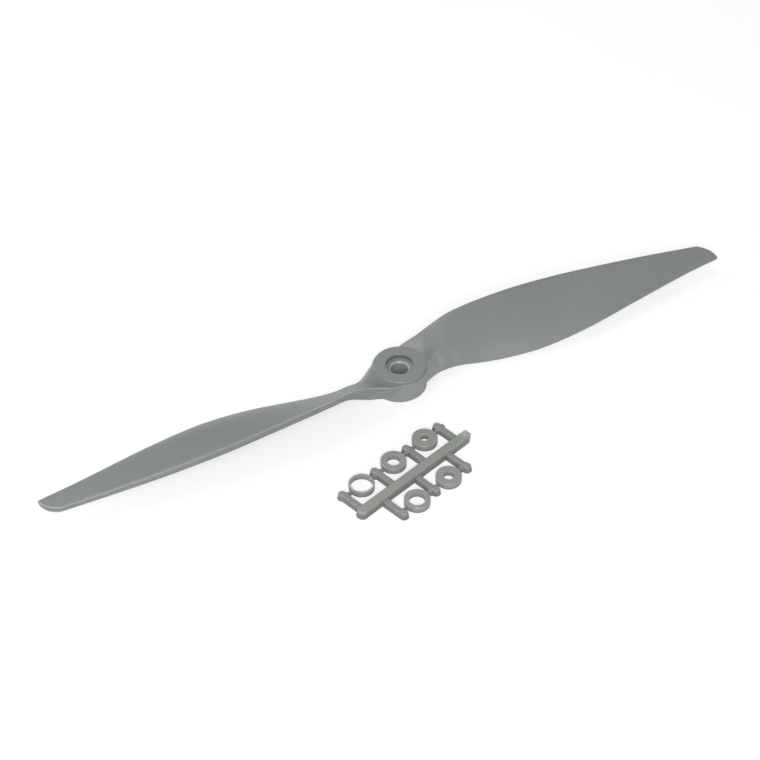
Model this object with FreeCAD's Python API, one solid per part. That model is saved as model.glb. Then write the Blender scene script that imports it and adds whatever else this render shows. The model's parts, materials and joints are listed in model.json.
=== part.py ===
import FreeCAD, Part
import math
import os

# Two-blade model aircraft propeller with its set of shaft adapter rings.
# Millimetres. Origin: hub bore axis at the flat rear face of the hub, which
# rests on the table. +Z points forward along the bore, +X along one blade.

V = FreeCAD.Vector
Z_AXIS = V(0, 0, 1)
ORIGIN = V(0, 0, 0)

# Hub
HUB_RADIUS = 10.17
HUB_LEDGE_HEIGHT = 8.6
HUB_HEIGHT = 9.63
FACE_DISC_RADIUS = 9.7
FRONT_RECESS_RADIUS = 5.1
FRONT_RECESS_DEPTH = 1.9
BORE_RADIUS = 3.175
BORE_CHAMFER = 0.4
RIM_CHAMFER = 0.1
REAR_RECESS_RADIUS = 4.7
REAR_RECESS_DEPTH = 2.5
HUB_EDGE_ROUND = 0.3
LEDGE_EDGE_ROUND = 0.18
ROOT_BLEND_RADIUS = 10.0
ROOT_BLEND_ANGLE = 50.0
ROOT_RIDGE_ROUND = 5.0

# Blade
TIP_RADIUS = 139.7
SHOULDER_SHARE = (0.15, 0.25)
HIGH_SHARE = (0.38, 0.62)
FALL_SHARE = (0.72, 1.0)
CREST_ROUND = 0.75
CREST_ROUND_FULL_FROM = 80.0
ROOT_CREST_ROUND = 0.4
CREST_ROUND_CHORD_SHARE = 0.07
NOSE_ROUND = 0.5
NOSE_ROUND_GROWTH = 0.1
NOSE_DEPTH = 3.0
TAIL_BULGE = 0.15
ROOT_BULGE = 0.1
ROOT_FULLNESS = 0.46
ROOT_FULL_DEPTH = 5.0
ROOT_HIGH_FULLNESS = 0.08
ROOT_STEP = 3.0
OUTER_STEP = 6.0

# One row per blade station: distance from the bore axis, leading edge (y, z),
# upper trailing edge (y, z), trailing edge thickness, greatest rise of the upper
# face above the line joining the two edges, then the lower nose corner as its
# depth below that line and its setback along it. Near the hub the lower corner
# drops to the table, which makes the thick root; farther out it is a blunt nose.
STATIONS = (
    (3.0, (9.6, 8.3), (-8.2, 7.2), 4.6, 0.3, 7.4, 3.2),
    (7.5, (10.2, 9.5), (-7.1, 6.8), 4.0, 0.8, 8.8, 5.9),
    (12.0, (10.2, 11.7), (-4.9, 4.7), 2.8, 1.0, 7.9, 10.8),
    (16.0, (10.4, 13.7), (-3.65, 3.2), 2.1, 1.3, 5.5, 11.4),
    (20.0, (10.65, 15.5), (-3.9, 3.1), 1.5, 1.2, 4.4, 10.0),
    (25.0, (11.25, 16.85), (-4.2, 2.25), 1.1, 1.0, 3.1, 7.6),
    (32.0, (12.1, 16.85), (-5.8, 1.7), 1.0, 1.0, 3.15, 7.1),
    (42.0, (12.65, 16.35), (-8.1, 1.9), 1.0, 1.1, 3.5, 5.9),
    (56.0, (13.1, 15.5), (-10.3, 2.9), 1.0, 1.2, 3.6, 4.1),
    (75.0, (12.85, 13.7), (-10.2, 4.6), 1.0, 1.0, 3.4, 2.3),
    (95.0, (11.45, 11.65), (-7.6, 5.7), 1.0, 0.8, 3.0, 1.0),
    (112.0, (9.85, 10.05), (-4.8, 6.0), 1.0, 0.6, 2.6, 0.5),
    (126.0, (8.25, 8.7), (-2.6, 6.1), 1.0, 0.5, 2.4, 0.3),
    (141.0, (6.4, 7.3), (-0.55, 6.4), 1.9, 0.15, 2.4, 0.3),
)

# Tip plan: the leading edge turns in at TIP_SHOULDER and sweeps to the
# sharp corner on the trailing edge.
TIP_SHOULDER = (132.0, 7.85)
TIP_BEND = (136.1, 6.05)
TIP_TURN = (138.0, 4.2)
TIP_SWEEP = (139.2, 1.8)
TIP_CORNER = (TIP_RADIUS, -0.9)

# Adapter rings
RING_RADIUS = 4.63
RING_HEIGHT = 2.37
RING_CHAMFER = 0.12
RING_HOLES = {
    "adapter_ring_3_2mm": 3.2,
    "adapter_ring_4mm": 4.0,
    "adapter_ring_5mm": 5.0,
    "adapter_ring_6mm": 6.0,
    "adapter_ring_8mm": 8.0,
}

# Ring tree, in its own axes: u along the runner, v across it
TREE_PLACE = (-21.31, -45.23)
TREE_ANGLE = 17.1
RING_PITCH = 15.7
RING_ROW = 9.35
FAR_ARM_START = -20.45
NEAR_ARM_START = -12.35
FAR_RING_START = -12.75
NEAR_RING_START = -4.25
FAR_ARM_COUNT = 4
NEAR_ARM_COUNT = 3
RUNNER_BASE_WIDTH = 4.3
RUNNER_TOP_WIDTH = 3.2
RUNNER_HEIGHT = 3.0
RUNNER_START = -23.7
RUNNER_END = 33.6
ARM_BASE_WIDTH = 3.1
ARM_TOP_WIDTH = 2.2
ARM_HEIGHT = 2.2
BAR_ROUND = 0.3
PAD_RADIUS = 1.8
PAD_TOP_RADIUS = 1.35
PAD_SHIFT = 0.45
ARM_LEAN = 0.2
PAD_HEIGHT = 2.45
PAD_REACH = 10.6
PAD_RADIUS_END = 2.3
PAD_EDGE_ROUND = 0.5
NUB_RADIUS = 1.4
NUB_TOP_RADIUS = 1.05
NUB_HEIGHT = 2.0
NUB_OFFSET = 0.8
NUB_ROUND = 0.45
GATE_ROOT_RADIUS = 0.9
GATE_TIP_RADIUS = 0.55
GATE_HEIGHT = 1.2
GATE_GAP = 0.1


def corner_round(corner, side_a, side_b, radius):
    """Tangent point, middle and tangent point of an arc that rounds a corner."""
    way_a = (side_a - corner).normalize()
    way_b = (side_b - corner).normalize()
    half = way_a.getAngle(way_b) / 2
    reach = radius / math.tan(half)
    middle_way = (way_a + way_b).normalize()
    centre = corner + middle_way * (radius / math.sin(half))
    return (corner + way_a * reach, centre - middle_way * radius, corner + way_b * reach)


def flat_row(row):
    """Station row as a plain list of numbers."""
    x, lead, trail, thickness, rise, depth, setback = row
    return [x, lead[0], lead[1], trail[0], trail[1], thickness, rise, depth, setback]


def slope(rows, index, item):
    """Slope of one item at a station, through its neighbours."""
    before = rows[max(index - 1, 0)]
    after = rows[min(index + 1, len(rows) - 1)]
    return (after[item] - before[item]) / (after[0] - before[0])


def station_at(x):
    """Smooth blade measurements at any distance x between the first and last station."""
    rows = [flat_row(row) for row in STATIONS]
    index = 0
    while index < len(rows) - 2 and x > rows[index + 1][0]:
        index += 1
    low, high = rows[index], rows[index + 1]
    span = high[0] - low[0]
    t = (x - low[0]) / span
    values = [x]
    for item in range(1, len(low)):
        start_pull = slope(rows, index, item) * span
        end_pull = slope(rows, index + 1, item) * span
        value = (2 * t**3 - 3 * t**2 + 1) * low[item] + (t**3 - 2 * t**2 + t) * start_pull
        value += (3 * t**2 - 2 * t**3) * high[item] + (t**3 - t**2) * end_pull
        values.append(value)
    return values


def section_places():
    """Distances of the blade sections, close together near the hub."""
    places = []
    x = STATIONS[0][0]
    while x < STATIONS[-1][0] - 0.5:
        places.append(x)
        x += ROOT_STEP if x < 33 else OUTER_STEP
    return places + [STATIONS[-1][0]]


def blade_section(x):
    """Closed outline of the blade in the plane square to X at distance x."""
    x, lead_y, lead_z, trail_y, trail_z, thickness, rise, depth, setback = station_at(x)
    crest = V(x, lead_y, lead_z)
    tail = V(x, trail_y, trail_z)
    chord_way = (tail - crest).normalize()
    chord = (tail - crest).Length
    up = V(0, -chord_way.z, chord_way.y)
    if up.z < 0:
        up = up * -1
    tail_low = tail - up * thickness
    root_growth = max(depth - NOSE_DEPTH, 0)
    tail_bulge = thickness * TAIL_BULGE + root_growth * ROOT_BULGE
    tail_mid = (tail + tail_low) * 0.5 + chord_way * tail_bulge
    nose_low = crest + chord_way * setback - up * depth
    shoulder = crest + chord_way * (chord * SHOULDER_SHARE[0]) + up * (rise * SHOULDER_SHARE[1])
    high_rise = rise * HIGH_SHARE[1] + root_growth * ROOT_HIGH_FULLNESS
    high = crest + chord_way * (chord * HIGH_SHARE[0]) + up * high_rise
    fall_rise = rise * FALL_SHARE[1] + max(depth - ROOT_FULL_DEPTH, 0) * ROOT_FULLNESS
    fall = crest + chord_way * (chord * FALL_SHARE[0]) + up * fall_rise
    nose_round = NOSE_ROUND + NOSE_ROUND_GROWTH * depth
    widest_round = min(CREST_ROUND, CREST_ROUND * x / CREST_ROUND_FULL_FROM, chord * CREST_ROUND_CHORD_SHARE)
    crest_round = max(ROOT_CREST_ROUND, widest_round)
    top = corner_round(crest, shoulder, nose_low, crest_round)
    low = corner_round(nose_low, crest, tail_low, nose_round)
    upper = Part.BSplineCurve()
    places = [0, SHOULDER_SHARE[0], HIGH_SHARE[0], FALL_SHARE[0], 1]
    upper.interpolate(Points=[top[0], shoulder, high, fall, tail], Parameters=places)
    edges = [
        upper.toShape(),
        Part.Arc(tail, tail_mid, tail_low).toShape(),
        Part.makeLine(tail_low, low[2]),
        Part.Arc(low[2], low[1], low[0]).toShape(),
        Part.makeLine(low[0], top[2]),
        Part.Arc(top[2], top[1], top[0]).toShape(),
    ]
    return Part.Wire(edges)


def tip_cutter():
    """Upright block that keeps everything inside the rounded blade tip."""
    shoulder, bend, turn, sweep, corner = [
        V(p[0], p[1], -5) for p in (TIP_SHOULDER, TIP_BEND, TIP_TURN, TIP_SWEEP, TIP_CORNER)
    ]
    far_in = V(corner.x, -30, -5)
    root_in = V(-1, -30, -5)
    root_out = V(-1, 30, -5)
    lead_out = V(90, 30, -5)
    run_in = shoulder + V(-12, 1.8, 0)
    lead_bend = run_in + V(0, 8, 0)
    edges = [
        Part.makeLine(run_in, shoulder),
        Part.Arc(shoulder, bend, turn).toShape(),
        Part.Arc(turn, sweep, corner).toShape(),
        Part.makeLine(corner, far_in),
        Part.makeLine(far_in, root_in),
        Part.makeLine(root_in, root_out),
        Part.makeLine(root_out, lead_out),
        Part.makeLine(lead_out, lead_bend),
        Part.makeLine(lead_bend, run_in),
    ]
    return Part.Face(Part.Wire(edges)).extrude(V(0, 0, 40))


def blade():
    """One blade along +X, from inside the hub to the cut tip."""
    body = Part.makeLoft([blade_section(x) for x in section_places()], True, False)
    return body.common(tip_cutter())


def edges_at(shape, height):
    """Closed round edges of a shape that lie at one height."""
    return [e for e in shape.Edges if e.Closed and abs(e.BoundBox.Center.z - height) < 0.01]


def hub_outside():
    """Hub barrel with the raised disc of the front face, rims slightly rounded."""
    barrel = Part.makeCylinder(HUB_RADIUS, HUB_LEDGE_HEIGHT)
    barrel = barrel.makeFillet(HUB_EDGE_ROUND, edges_at(barrel, 0))
    barrel = barrel.makeFillet(LEDGE_EDGE_ROUND, edges_at(barrel, HUB_LEDGE_HEIGHT))
    disc = Part.makeCylinder(FACE_DISC_RADIUS, HUB_HEIGHT - 1, V(0, 0, 1))
    disc = disc.makeFillet(HUB_EDGE_ROUND, edges_at(disc, HUB_HEIGHT))
    return barrel.fuse(disc)


def space_over_face():
    """Round dish over the front face: flat over the disc, then curving up into the blades."""
    angle = math.radians(ROOT_BLEND_ANGLE)
    rim = V(-FACE_DISC_RADIUS, 0, HUB_HEIGHT)
    centre = rim + V(0, 0, ROOT_BLEND_RADIUS)
    middle = centre + V(-math.sin(angle / 2), 0, -math.cos(angle / 2)) * ROOT_BLEND_RADIUS
    end = centre + V(-math.sin(angle), 0, -math.cos(angle)) * ROOT_BLEND_RADIUS
    edges = [
        Part.makeLine(V(0, 0, HUB_HEIGHT), rim),
        Part.Arc(rim, middle, end).toShape(),
        Part.makeLine(end, V(end.x, 0, 30)),
        Part.makeLine(V(end.x, 0, 30), V(0, 0, 30)),
        Part.makeLine(V(0, 0, 30), V(0, 0, HUB_HEIGHT)),
    ]
    return Part.Face(Part.Wire(edges)).revolve(ORIGIN, Z_AXIS, 360)


def clear_of_faces(body):
    """Take away any blade root that stands above the front face or below the rear face."""
    under = Part.makeBox(400, 100, 10, V(-200, -50, -10))
    return body.cut([space_over_face(), under])


def round_ridge(body):
    """Round the long line where the dish over the front face runs out into the top of the blade."""
    dish = [face for face in body.Faces if face.Surface.TypeId == "Part::GeomSurfaceOfRevolution"]
    sides = [edge for face in dish for edge in face.Edges if edge.Curve.TypeId == "Part::GeomBSplineCurve"]
    ridge = max(sides, key=lambda edge: edge.Length)
    return body.makeFillet(ROOT_RIDGE_ROUND, [ridge])


def hub_hollow():
    """Bore, its chamfer, and the recesses in the front and rear faces."""
    bore = Part.makeCylinder(BORE_RADIUS, HUB_HEIGHT + 2, V(0, 0, -1))
    floor = HUB_HEIGHT - FRONT_RECESS_DEPTH
    front = Part.makeCylinder(FRONT_RECESS_RADIUS, FRONT_RECESS_DEPTH + 1, V(0, 0, floor))
    rear = Part.makeCylinder(REAR_RECESS_RADIUS, REAR_RECESS_DEPTH + 1, V(0, 0, -1))
    wide = BORE_RADIUS + BORE_CHAMFER
    mouth = Part.makeCone(BORE_RADIUS, wide, BORE_CHAMFER, V(0, 0, floor - BORE_CHAMFER))
    rim = Part.makeCone(
        FRONT_RECESS_RADIUS, FRONT_RECESS_RADIUS + RIM_CHAMFER, RIM_CHAMFER, V(0, 0, HUB_HEIGHT - RIM_CHAMFER)
    )
    return bore.fuse([front, rear, mouth, rim])


def propeller():
    """Hub and both blades, moulded in one piece."""
    right = round_ridge(clear_of_faces(blade()))
    left = right.copy()
    left.rotate(ORIGIN, Z_AXIS, 180)
    body = hub_outside().fuse([right, left])
    return body.cut(hub_hollow()).removeSplitter()


def export(name, shape):
    """Write one solid to its own STEP file."""
    solid = shape.Solids[0]
    solid.exportStep("parts/" + name + ".step")
    print(name, len(shape.Solids), shape.isValid(), round(shape.Volume, 1), shape.BoundBox)


def bar(start, end, base_width, top_width, height):
    """Moulded bar with sloping sides and rounded top edges, lying on the table from start to end."""
    way = (end - start).normalize()
    side = V(-way.y, way.x, 0)
    low = side * (base_width / 2)
    high = side * (top_width / 2) + V(0, 0, height)
    high_other = side * (-top_width / 2) + V(0, 0, height)
    outline = Part.makePolygon([start + low, start + high, start + high_other, start - low, start + low])
    body = Part.Face(outline).extrude(end - start)
    length = (end - start).Length
    long_top = [e for e in body.Edges if abs(e.Length - length) < 0.01 and e.BoundBox.Center.z > height / 2]
    return body.makeFillet(BAR_ROUND, long_top)


def beyond(point, normal):
    """Large block covering everything past a plane through a point."""
    block = Part.makeBox(30, 30, 30, V(-15, -15, 0))
    block.Placement = FreeCAD.Placement(point, FreeCAD.Rotation(Z_AXIS, normal))
    return block


def runner():
    """Main bar of the tree: round pad at one end, nipped off to a wedge at the other."""
    start = V(RUNNER_START + PAD_RADIUS_END, 0, 0)
    body = bar(start, V(RUNNER_END + 2, 0, 0), RUNNER_BASE_WIDTH, RUNNER_TOP_WIDTH, RUNNER_HEIGHT)
    near_cut = beyond(V(29.8, -2.15, 0), V(0.49, -0.67, 0.56))
    far_cut = beyond(V(31.3, 2.15, 0), V(0.56, 0.80, 0.22))
    pad = Part.makeCone(PAD_RADIUS_END, PAD_RADIUS_END - 0.45, RUNNER_HEIGHT + 0.1, start)
    pad = pad.makeFillet(PAD_EDGE_ROUND, edges_at(pad, RUNNER_HEIGHT + 0.1))
    return body.cut([near_cut, far_cut]).fuse(pad)


def nub(u, side, way):
    """Rounded lug on one side of an arm, where a gate starts."""
    lug = Part.makeCone(NUB_RADIUS, NUB_TOP_RADIUS, NUB_HEIGHT, V(u + way * NUB_OFFSET, side * RING_ROW, 0))
    return lug.makeFillet(NUB_ROUND, edges_at(lug, NUB_HEIGHT))


def arm(u, side, nub_ways):
    """Branch standing across the runner, with its end pad and side nubs."""
    tip = V(u - side * ARM_LEAN, side * PAD_REACH, 0)
    branch = bar(V(u, 0, 0), tip, ARM_BASE_WIDTH, ARM_TOP_WIDTH, ARM_HEIGHT)
    pad = Part.makeCone(PAD_RADIUS, PAD_TOP_RADIUS, PAD_HEIGHT, V(u - side * PAD_SHIFT, side * PAD_REACH, 0))
    pad = pad.makeFillet(PAD_EDGE_ROUND, edges_at(pad, PAD_HEIGHT))
    return branch.fuse([pad] + [nub(u, side, way) for way in nub_ways])


def arm_row(start, side, count):
    """Row of arms on one side of the runner; the first has no nub on its outer side."""
    return [arm(start + RING_PITCH * k, side, (1,) if k == 0 else (-1, 1)) for k in range(count)]


def ring_places():
    """Centre (u, v) of every ring in the tree's own axes."""
    far = [(FAR_RING_START + RING_PITCH * k, RING_ROW) for k in range(FAR_ARM_COUNT - 1)]
    near = [(NEAR_RING_START + RING_PITCH * k, -RING_ROW) for k in range(NEAR_ARM_COUNT - 1)]
    names = (
        "adapter_ring_8mm",
        "adapter_ring_5mm",
        "adapter_ring_3_2mm",
        "adapter_ring_6mm",
        "adapter_ring_4mm",
    )
    return dict(zip(names, far + near))


def gates(u, v):
    """The two thin tapered gates that hold one ring between its neighbouring arms."""
    inner = RING_RADIUS + GATE_GAP
    outer = RING_PITCH / 2 - 1.6
    pieces = []
    for way in (-1, 1):
        root = V(u + way * outer, v, GATE_HEIGHT)
        gate = Part.makeCone(GATE_ROOT_RADIUS, GATE_TIP_RADIUS, outer - inner, root, V(-way, 0, 0))
        pieces.append(gate)
    return pieces


def place_tree(shape):
    """Lay a tree piece beside the propeller."""
    shape.rotate(ORIGIN, Z_AXIS, TREE_ANGLE)
    shape.translate(V(TREE_PLACE[0], TREE_PLACE[1], 0))
    return shape


def ring_tree():
    """Runner, branches and gates, moulded in one piece."""
    pieces = arm_row(FAR_ARM_START, 1, FAR_ARM_COUNT) + arm_row(NEAR_ARM_START, -1, NEAR_ARM_COUNT)
    for place in ring_places().values():
        pieces += gates(*place)
    return place_tree(runner().fuse(pieces).removeSplitter())


def adapter_ring(hole, place):
    """Plain ring with a chamfered upper rim."""
    u, v = place
    body = Part.makeCylinder(RING_RADIUS, RING_HEIGHT, V(u, v, 0))
    chamfer = min(RING_CHAMFER, (RING_RADIUS - hole / 2) / 4)
    body = body.makeChamfer(chamfer, edges_at(body, RING_HEIGHT))
    hollow = Part.makeCylinder(hole / 2, RING_HEIGHT + 2, V(u, v, -1))
    return place_tree(body.cut(hollow))


def main():
    os.makedirs("parts", exist_ok=True)
    export("propeller", propeller())
    export("ring_tree", ring_tree())
    places = ring_places()
    for name, hole in RING_HOLES.items():
        export(name, adapter_ring(hole, places[name]))


main()
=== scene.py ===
"""Looks of a model aircraft propeller and its tree of adapter rings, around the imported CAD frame."""

import json
import math

import bpy
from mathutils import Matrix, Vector


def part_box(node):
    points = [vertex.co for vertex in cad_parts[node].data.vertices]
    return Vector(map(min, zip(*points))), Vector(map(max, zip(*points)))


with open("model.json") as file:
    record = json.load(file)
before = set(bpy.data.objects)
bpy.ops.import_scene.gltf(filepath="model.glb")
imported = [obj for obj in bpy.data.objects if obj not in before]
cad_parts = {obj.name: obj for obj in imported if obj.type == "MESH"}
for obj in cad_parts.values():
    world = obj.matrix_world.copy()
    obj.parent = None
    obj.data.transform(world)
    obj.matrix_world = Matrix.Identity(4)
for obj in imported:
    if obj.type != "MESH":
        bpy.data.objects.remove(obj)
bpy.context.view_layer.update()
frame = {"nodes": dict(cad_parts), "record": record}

MM = 0.001
UP = (0, 0, 1)

# Camera, in the frame's axes
CAMERA_AZIMUTH = -27.697
CAMERA_ELEVATION = 43.982
CAMERA_DISTANCE = 721.8 * MM
CAMERA_TARGET = Vector((-5.48, 4.82, 0)) * MM
CAMERA_LENS = 92.85
CAMERA_NEAR = 0.01
CAMERA_FAR = 20

# Studio: one row per softbox with its azimuth, elevation, power and colour
LAMP_DISTANCE = 1.0
LAMP_SIZE = 0.5
LAMPS = {
    "front": (-27, 42, 6.4, (0.99, 0.97, 1.0)),
    "front_low": (-27, 20, 1.0, (0.8, 0.9, 1.0)),
    "left": (-90, 20, 2.0, (0.9, 0.95, 1.0)),
    "back_left": (-150, 20, 4.8, (0.81, 0.87, 1.0)),
    "back": (180, 64, 1.5, (1.0, 0.93, 0.85)),
    "back_right": (100, 30, 0.4, (0.9, 0.95, 1.0)),
    "right": (45, 20, 1.3, (0.98, 1.0, 0.88)),
}
SKY = 0.19
SKY_COLOUR = (0.95, 1.0, 0.96)

# Floor: half its side, its surface, its faint glow, and what camera rays alone see on top of that
FLOOR_HALF = 3.0
FLOOR_WHITE = (0.5, 0.5, 0.5)
FLOOR_ROUGHNESS = 0.8
FLOOR_GLOW = 0.16
FLOOR_SEEN_GLOW = 0.42

# Nylon: linear colours, refraction, roughness of its smoothest and dullest clouds, and what is
# taken off that roughness on polished leading edges and all over the tree
BLADE_GREY = (0.237, 0.250, 0.235)
TREE_GREY = (0.29, 0.303, 0.28)
# Pale stress-whitened nylon, also used for the painted highlight on the bore's mouth
WHITENED_AND_HIGHLIGHT = (0.52, 0.53, 0.50)
NYLON_IOR = 1.53
SATIN = (0.29, 0.35)
LEADING_POLISH = 0.1
TREE_POLISH = 0.08

# Tones, as multiples of a piece's own grey
DARKEST_TONE = 0.95
PALEST_TONE = 1.05
FLECK_TONE = 1.2
# Paler edges: wear and a painted edge highlight
WORN_AND_HIGHLIGHT_TONE = 1.6
PITS_TONE = 1.08
# Painted light on the hub's side
BARREL_LIGHT_TONE = 1.2
# Painted highlight on the leading edges
LEADING_HIGHLIGHT_TONE = 2.1
# Painted shade in the front recess and bore
WALL_SHADE_TONE = 0.45
BORE_SHADE_TONE = 0.5
# Painted shade at the foot of the tree and rings
FOOT_SHADE_TONE = 0.5

# How much of a tone is mixed in where it is full
# Painted highlight on the leading edges
LEADING_HIGHLIGHT_AMOUNT = 0.7
# Painted shade in the front recess and bore; painted highlight on the bore's mouth
WALL_SHADE_AMOUNT = 0.7
BORE_SHADE_AMOUNT = 0.2
MOUTH_HIGHLIGHT_AMOUNT = 0.5
# Painted shade at the foot of the tree and rings
FOOT_SHADE_AMOUNT = 0.8

# Noise: size of its patches, detail, roughness, and how much longer they are along the flow
CLOUD = {"size": 22 * MM, "detail": 3, "stretch": 2.2}
STREAK = {"size": 2.4 * MM, "detail": 3, "stretch": 9, "roughness": 0.6}
GRAIN = {"size": 0.55 * MM, "detail": 2}
FIBRE = {"size": 0.32 * MM, "detail": 1, "stretch": 7}
WEAR_AND_HIGHLIGHT = {"size": 3 * MM, "detail": 3}
PEEL = {"size": 1.6 * MM, "detail": 2}
PITS = {"size": 0.9 * MM, "detail": 4, "roughness": 0.65}
FOOT = {"size": 4 * MM, "detail": 3}
TORN = {"size": 1.1 * MM, "detail": 4, "roughness": 0.7}

# Bumps: strength and depth
PEEL_BUMP = (0.35, 0.012 * MM)
GRAIN_BUMP = (0.4, 0.006 * MM)
FIBRE_BUMP = (0.3, 0.003 * MM)
PITS_BUMP = (0.6, 0.03 * MM)
TORN_BUMP = (0.7, 0.15 * MM)

# Shares of cloud, streak and grain in the nylon's tone
CLOUD_SHARE = 0.35
STREAK_SHARE = 0.25
GRAIN_SHARE = 0.4

# Spans of noise: its values where a look starts and where it is full, and then the look's amounts
# at both where they aren't 0 and 1
TONE_SPAN = (0.32, 0.68)
SATIN_SPAN = (0.3, 0.7, *SATIN)
FLECK_SPAN = (0.6, 0.8, 0, 0.25)
WEAR_AND_HIGHLIGHT_SPAN = (0.35, 0.65, 0.35, 0.75)
PITS_SPAN = (0.4, 0.62, 0, 0.5)
FOOT_SPAN = (0.3, 0.7, 0.7, 1.0)
TORN_SPAN = (0.38, 0.62, 0.25, 0.95)

# Edges: how deep the nylon is looked into, anywhere and on leading edges, with how many rays,
# and its inner openness away from an edge and on one
EDGE_REACH = 0.5 * MM
LEADING_REACH = 0.7 * MM
EDGE_SAMPLES = 12
EDGE_SPAN = (0.95, 0.45)

# Colour Mix node: its sockets by number, because their names repeat
MIX_SHARE, MIX_A, MIX_B = 0, 6, 7
MIX_RESULT = 2

nodes = frame["nodes"]
RINGS = [name for name in nodes if name.startswith("adapter_ring")]


def centre(node):
    low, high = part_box(node)
    return (Vector(low) + Vector(high)) / 2


# Hub: heights of its front face and of the front recess's floor, and the recess's radius
MOUNTS = {mount["name"]: mount for mount in frame["record"]["mounts"]}
FACE_HEIGHT = MOUNTS["hub_front_face"]["pos_m"][2]
RECESS = MOUNTS["front_recess"]
RECESS_FLOOR = RECESS["pos_m"][2] - RECESS["dims"]["length_mm"] * MM / 2
RECESS_RADIUS = RECESS["dims"]["r_mm"] * MM

# Tones of the propeller: where each has gone and where it is full.
# Those named HEIGHTS are along the shaft axis, and those named FADE are distances from it, except
# that FACE_FADE is measured from the middle of the front face and LEADING_FADE is x times y,
# which is above 0 on the leading side of both blades.
FACE_FADE = (10.4 * MM, 9.2 * MM)
BARREL_HEIGHTS = (FACE_HEIGHT - 0.7 * MM, FACE_HEIGHT - 1.3 * MM)
BARREL_FADE = (20 * MM, 13 * MM)
LEADING_FADE = (10 * MM * MM, 90 * MM * MM)
WALL_HEIGHTS = (RECESS_FLOOR + 0.05 * MM, RECESS_FLOOR + 0.3 * MM)
WALL_FADE = (RECESS_RADIUS + 0.1 * MM, RECESS_RADIUS + 0.02 * MM)
BORE_HEIGHTS = (RECESS_FLOOR - 0.3 * MM, RECESS_FLOOR - 0.6 * MM)
BORE_FADE = (3.3 * MM, 3.2 * MM)
MOUTH_OUTER_FADE = (3.9 * MM, 3.6 * MM)
MOUTH_INNER_FADE = (3.1 * MM, 3.25 * MM)

# Tree: its long axis, from the rings of its far row, its top, and its end along that axis
ALONG = (centre("adapter_ring_3_2mm") - centre("adapter_ring_8mm")).normalized()
TREE_TURN = math.atan2(ALONG.y, ALONG.x)
TREE_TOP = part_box("ring_tree")[1][2]
TREE_END = max(vertex.co.dot(ALONG) for vertex in nodes["ring_tree"].data.vertices)

# Nipped end of the runner: where its tone has gone and where it is full, along the tree's axis
NIPPED_FADE = (TREE_END - 6.5 * MM, TREE_END - 2.5 * MM)

# Dot at a gate: radii where its tone has gone and where it is full, and its amount at both
GATE_FADE = (1.1 * MM, 0.5 * MM, 0, 0.7)

# Painted shade at the foot of the tree and rings: heights where it has gone and where it is full, as
# shares of its top, which is the tree's own top or this share of a ring's height
FOOT_GONE = 0.88
FOOT_FULL = 0.45
RING_FOOT_TOP = 0.4


def look_from(azimuth, elevation):
    """Unit vector from the subject towards a viewer or a lamp."""
    a = math.radians(azimuth)
    e = math.radians(elevation)
    return Vector((math.sin(a) * math.cos(e), -math.cos(a) * math.cos(e), math.sin(e)))


def aim(thing, back):
    """Turn a camera or lamp so that back points out of its rear, and add it to the scene."""
    thing.rotation_mode = "QUATERNION"
    thing.rotation_quaternion = (-back).to_track_quat("-Z", "Y")
    bpy.context.scene.collection.objects.link(thing)


def make_camera():
    data = bpy.data.cameras.new("camera")
    data.lens = CAMERA_LENS
    data.clip_start = CAMERA_NEAR
    data.clip_end = CAMERA_FAR
    camera = bpy.data.objects.new("camera", data)
    back = look_from(CAMERA_AZIMUTH, CAMERA_ELEVATION)
    camera.location = CAMERA_TARGET + back * CAMERA_DISTANCE
    aim(camera, back)
    bpy.context.scene.camera = camera


def make_softbox(name, azimuth, elevation, power, colour):
    """Square soft lamp that points at the hub."""
    data = bpy.data.lights.new(name, "AREA")
    data.shape = "SQUARE"
    data.size = LAMP_SIZE
    data.energy = power
    data.color = colour
    lamp = bpy.data.objects.new(name, data)
    back = look_from(azimuth, elevation)
    lamp.location = back * LAMP_DISTANCE
    aim(lamp, back)


def make_world():
    world = bpy.data.worlds.new("studio")
    world.use_nodes = True
    background = world.node_tree.nodes["Background"]
    background.inputs["Color"].default_value = (*SKY_COLOUR, 1)
    background.inputs["Strength"].default_value = SKY
    bpy.context.scene.world = world


def make_floor():
    """White table with a faint glow, seen a good deal brighter than it lights the object."""
    half = FLOOR_HALF
    mesh = bpy.data.meshes.new("floor")
    corners = [(-half, -half, 0), (half, -half, 0), (half, half, 0), (-half, half, 0)]
    mesh.from_pydata(corners, [], [(0, 1, 2, 3)])
    floor = bpy.data.objects.new("floor", mesh)
    bpy.context.scene.collection.objects.link(floor)
    material = bpy.data.materials.new("floor_white")
    material.use_nodes = True
    tree = material.node_tree
    shader = tree.nodes["Principled BSDF"]
    shader.inputs["Base Color"].default_value = (*FLOOR_WHITE, 1)
    shader.inputs["Roughness"].default_value = FLOOR_ROUGHNESS
    shader.inputs["Emission Color"].default_value = (1, 1, 1, 1)
    seen = tree.nodes.new("ShaderNodeLightPath").outputs["Is Camera Ray"]
    glow = tree.nodes.new("ShaderNodeMapRange")
    glow.inputs["To Min"].default_value = FLOOR_GLOW
    glow.inputs["To Max"].default_value = FLOOR_GLOW + FLOOR_SEEN_GLOW
    tree.links.new(seen, glow.inputs["Value"])
    tree.links.new(glow.outputs["Result"], shader.inputs["Emission Strength"])
    floor.data.materials.append(material)


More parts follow.
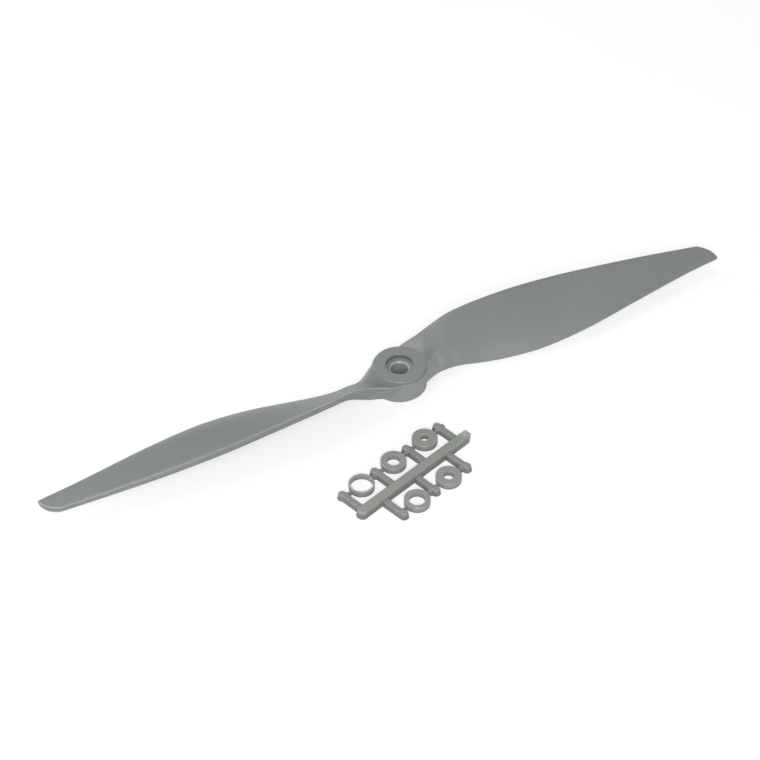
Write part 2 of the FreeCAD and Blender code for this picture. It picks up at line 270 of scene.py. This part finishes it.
class Recipe:
    """One material, with short ways to add and wire its nodes.
    """

    def __init__(self, name):
        self.material = bpy.data.materials.new(name)
        self.material.use_nodes = True
        self.tree = self.material.node_tree
        self.shader = self.tree.nodes["Principled BSDF"]
        self.place = self.node("ShaderNodeTexCoord").outputs["Object"]
        self.base = None
        self.roughness = None
        self.skin = None

    def wire(self, socket, value):
        """Link an output to an input, or set the input to a plain value."""
        if isinstance(value, bpy.types.NodeSocket):
            self.tree.links.new(value, socket)
        else:
            socket.default_value = value

    def node(self, kind, inputs=(), **settings):
        made = self.tree.nodes.new(kind)
        for name, value in settings.items():
            setattr(made, name, value)
        for name, value in dict(inputs).items():
            self.wire(made.inputs[name], value)
        return made

    def noise(self, size, detail, stretch=1, roughness=0.5, turn=0.0):
        """Noise from 0 to 1 in patches about size across, stretched along X and turned about Z."""
        mapping = {"Vector": self.place, "Scale": (stretch, 1, 1), "Rotation": (0, 0, turn)}
        moved = self.node("ShaderNodeMapping", mapping, vector_type="TEXTURE").outputs["Vector"]
        settings = {"Vector": moved, "Scale": 1 / size, "Detail": detail, "Roughness": roughness}
        return self.node("ShaderNodeTexNoise", settings).outputs["Fac"]

    def math(self, operation, a, b):
        return self.node("ShaderNodeMath", {0: a, 1: b}, operation=operation).outputs[0]

    def times(self, a, b):
        return self.math("MULTIPLY", a, b)

    def fit(self, value, low, high, to_low=0.0, to_high=1.0):
        """Value stretched from low..high to to_low..to_high, smooth and held at the ends."""
        settings = {
            "Value": value,
            "From Min": low,
            "From Max": high,
            "To Min": to_low,
            "To Max": to_high,
        }
        made = self.node("ShaderNodeMapRange", settings, interpolation_type="SMOOTHSTEP")
        return made.outputs["Result"]

    def mix(self, share, a, b):
        """Colour between a and b, where a is a colour or an output and b is a colour."""
        made = self.node("ShaderNodeMix", data_type="RGBA")
        self.wire(made.inputs[MIX_SHARE], share)
        self.wire(made.inputs[MIX_A], (*a, 1) if isinstance(a, tuple) else a)
        self.wire(made.inputs[MIX_B], (*b, 1))
        return made.outputs[MIX_RESULT]

    def distance(self, point):
        """Distance of the surface from a point."""
        made = self.node("ShaderNodeVectorMath", {0: self.place, 1: point}, operation="DISTANCE")
        return made.outputs["Value"]

    def dot(self, way):
        """How far along a direction the surface lies."""
        made = self.node("ShaderNodeVectorMath", {0: self.place, 1: way}, operation="DOT_PRODUCT")
        return made.outputs["Value"]

    def off_axis(self):
        """Distance of the surface from the Z axis."""
        settings = {0: self.place, 1: (1, 1, 0)}
        flat = self.node("ShaderNodeVectorMath", settings, operation="MULTIPLY").outputs["Vector"]
        made = self.node("ShaderNodeVectorMath", {0: flat}, operation="LENGTH")
        return made.outputs["Value"]

    def near_edge(self, reach):
        """1 on outer edges, fading to 0 where the material is more than reach thick."""
        settings = {"inside": True, "samples": EDGE_SAMPLES}
        made = self.node("ShaderNodeAmbientOcclusion", {"Distance": reach}, **settings)
        return self.fit(made.outputs["AO"], *EDGE_SPAN)

    def tint(self, share, colour):
        """Move the base colour towards another."""
        self.base = self.mix(share, self.base, colour)

    def engrave(self, height, strength, depth):
        """Add a bump to the skin."""
        settings = {"Height": height, "Strength": strength, "Distance": depth}
        if self.skin is not None:
            settings["Normal"] = self.skin
        self.skin = self.node("ShaderNodeBump", settings).outputs["Normal"]

    def smooth(self, amount):
        """Take an amount off the roughness."""
        self.roughness = self.math("SUBTRACT", self.roughness, amount)

    def finish(self):
        self.wire(self.shader.inputs["Base Color"], self.base)
        self.wire(self.shader.inputs["Roughness"], self.roughness)
        self.wire(self.shader.inputs["Normal"], self.skin)
        return self.material


def scaled(colour, factor):
    return tuple(c * factor for c in colour)


def nylon(name, colour, flow_turn=0.0):
    """Glass-filled nylon: clouds, streaks along the flow, fibre flecks, paler edges that are partly
    wear and partly a painted highlight, satin peel.
    """
    r = Recipe(name)
    r.shader.inputs["IOR"].default_value = NYLON_IOR
    cloud = r.noise(**CLOUD, turn=flow_turn)
    streak = r.noise(**STREAK, turn=flow_turn)
    grain = r.noise(**GRAIN)
    fibre = r.noise(**FIBRE, turn=flow_turn)
    tone = r.math("ADD", r.times(cloud, CLOUD_SHARE), r.times(streak, STREAK_SHARE))
    tone = r.math("ADD", tone, r.times(grain, GRAIN_SHARE))
    tone = r.fit(tone, *TONE_SPAN)
    r.base = r.mix(tone, scaled(colour, DARKEST_TONE), scaled(colour, PALEST_TONE))
    r.tint(r.fit(fibre, *FLECK_SPAN), scaled(colour, FLECK_TONE))
    # Paler edges: partly wear, partly a painted highlight along the edges
    wear_and_highlight = r.fit(r.noise(**WEAR_AND_HIGHLIGHT), *WEAR_AND_HIGHLIGHT_SPAN)
    r.tint(r.times(r.near_edge(EDGE_REACH), wear_and_highlight), scaled(colour, WORN_AND_HIGHLIGHT_TONE))
    r.roughness = r.fit(cloud, *SATIN_SPAN)
    r.engrave(r.noise(**PEEL), *PEEL_BUMP)
    r.engrave(grain, *GRAIN_BUMP)
    r.engrave(fibre, *FIBRE_BUMP)
    return r


def spark_front_face(r):
    """Coarse spark-eroded texture of the mould on the hub's front face."""
    on_face = r.fit(r.distance((0, 0, FACE_HEIGHT)), *FACE_FADE)
    pits = r.noise(**PITS)
    r.tint(r.times(on_face, r.fit(pits, *PITS_SPAN)), scaled(BLADE_GREY, PITS_TONE))
    r.engrave(r.times(pits, on_face), *PITS_BUMP)


def paint_barrel_light(r):
    """Painted light: the side of the hub made paler, as light falls on it."""
    barrel = r.times(r.fit(r.dot(UP), *BARREL_HEIGHTS), r.fit(r.off_axis(), *BARREL_FADE))
    r.tint(barrel, scaled(BLADE_GREY, BARREL_LIGHT_TONE))


def polish_and_paint_leading_highlight(r):
    """Painted highlight on the leading edges, which are also made smoother."""
    leading = r.fit(r.times(r.dot((1, 0, 0)), r.dot((0, 1, 0))), *LEADING_FADE)
    polished_highlight = r.times(r.near_edge(LEADING_REACH), leading)
    r.tint(r.times(polished_highlight, LEADING_HIGHLIGHT_AMOUNT), scaled(BLADE_GREY, LEADING_HIGHLIGHT_TONE))
    r.smooth(r.times(polished_highlight, LEADING_POLISH))


def paint_hub_hole_shade_and_highlight(r):
    """Painted shade on the wall of the front recess and, slightly, in the bore, and a painted
    highlight on the mouth of the bore.
    """
    away = r.off_axis()
    height = r.dot(UP)
    wall = r.times(r.fit(height, *WALL_HEIGHTS), r.fit(away, *WALL_FADE))
    r.tint(r.times(wall, WALL_SHADE_AMOUNT), scaled(BLADE_GREY, WALL_SHADE_TONE))
    bore = r.times(r.fit(height, *BORE_HEIGHTS), r.fit(away, *BORE_FADE))
    r.tint(r.times(bore, BORE_SHADE_AMOUNT), scaled(BLADE_GREY, BORE_SHADE_TONE))
    # Painted highlight on the bore's mouth
    mouth = r.times(r.fit(away, *MOUTH_OUTER_FADE), r.fit(away, *MOUTH_INNER_FADE))
    r.tint(r.times(mouth, MOUTH_HIGHLIGHT_AMOUNT), WHITENED_AND_HIGHLIGHT)


def propeller_nylon():
    """Blade nylon, with the tones and texture of the hub and the leading edges."""
    r = nylon("propeller_nylon", BLADE_GREY)
    spark_front_face(r)
    paint_barrel_light(r)
    polish_and_paint_leading_highlight(r)
    paint_hub_hole_shade_and_highlight(r)
    return r.finish()


def paint_foot_shade(r, top):
    """Painted shade, in soft patches, that thickens from near top down to the table."""
    foot = r.fit(r.dot(UP), top * FOOT_GONE, top * FOOT_FULL, 0, FOOT_SHADE_AMOUNT)
    patches = r.fit(r.noise(**FOOT), *FOOT_SPAN)
    r.tint(r.times(foot, patches), scaled(TREE_GREY, FOOT_SHADE_TONE))


def tree_nylon():
    """Tree nylon, stress-whitened where the runner was nipped off its sprue."""
    r = nylon("tree_nylon", TREE_GREY, TREE_TURN)
    paint_foot_shade(r, TREE_TOP)
    r.smooth(TREE_POLISH)
    near_end = r.fit(r.dot(ALONG), *NIPPED_FADE)
    torn = r.fit(r.noise(**TORN), *TORN_SPAN)
    r.tint(r.times(near_end, torn), WHITENED_AND_HIGHLIGHT)
    r.engrave(r.times(torn, near_end), *TORN_BUMP)
    return r.finish()


def ring_nylon(node):
    """Ring nylon, with a whitened dot on each side where its gate meets it."""
    r = nylon(node + "_nylon", TREE_GREY, TREE_TURN)
    low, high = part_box(node)
    paint_foot_shade(r, high[2] * RING_FOOT_TOP)
    middle = centre(node)
    reach = (high[0] - low[0]) / 2
    for way in (-1, 1):
        gate = middle + ALONG * (reach * way)
        r.tint(r.fit(r.distance(gate), *GATE_FADE), WHITENED_AND_HIGHLIGHT)
    return r.finish()


def dress(node, material):
    mesh = nodes[node].data
    mesh.materials.clear()
    mesh.materials.append(material)


make_camera()
make_world()
for lamp, settings in LAMPS.items():
    make_softbox(lamp, *settings)
make_floor()
dress("propeller", propeller_nylon())
dress("ring_tree", tree_nylon())
for ring in RINGS:
    dress(ring, ring_nylon(ring))

bpy.context.scene.view_settings.view_transform = "Standard"
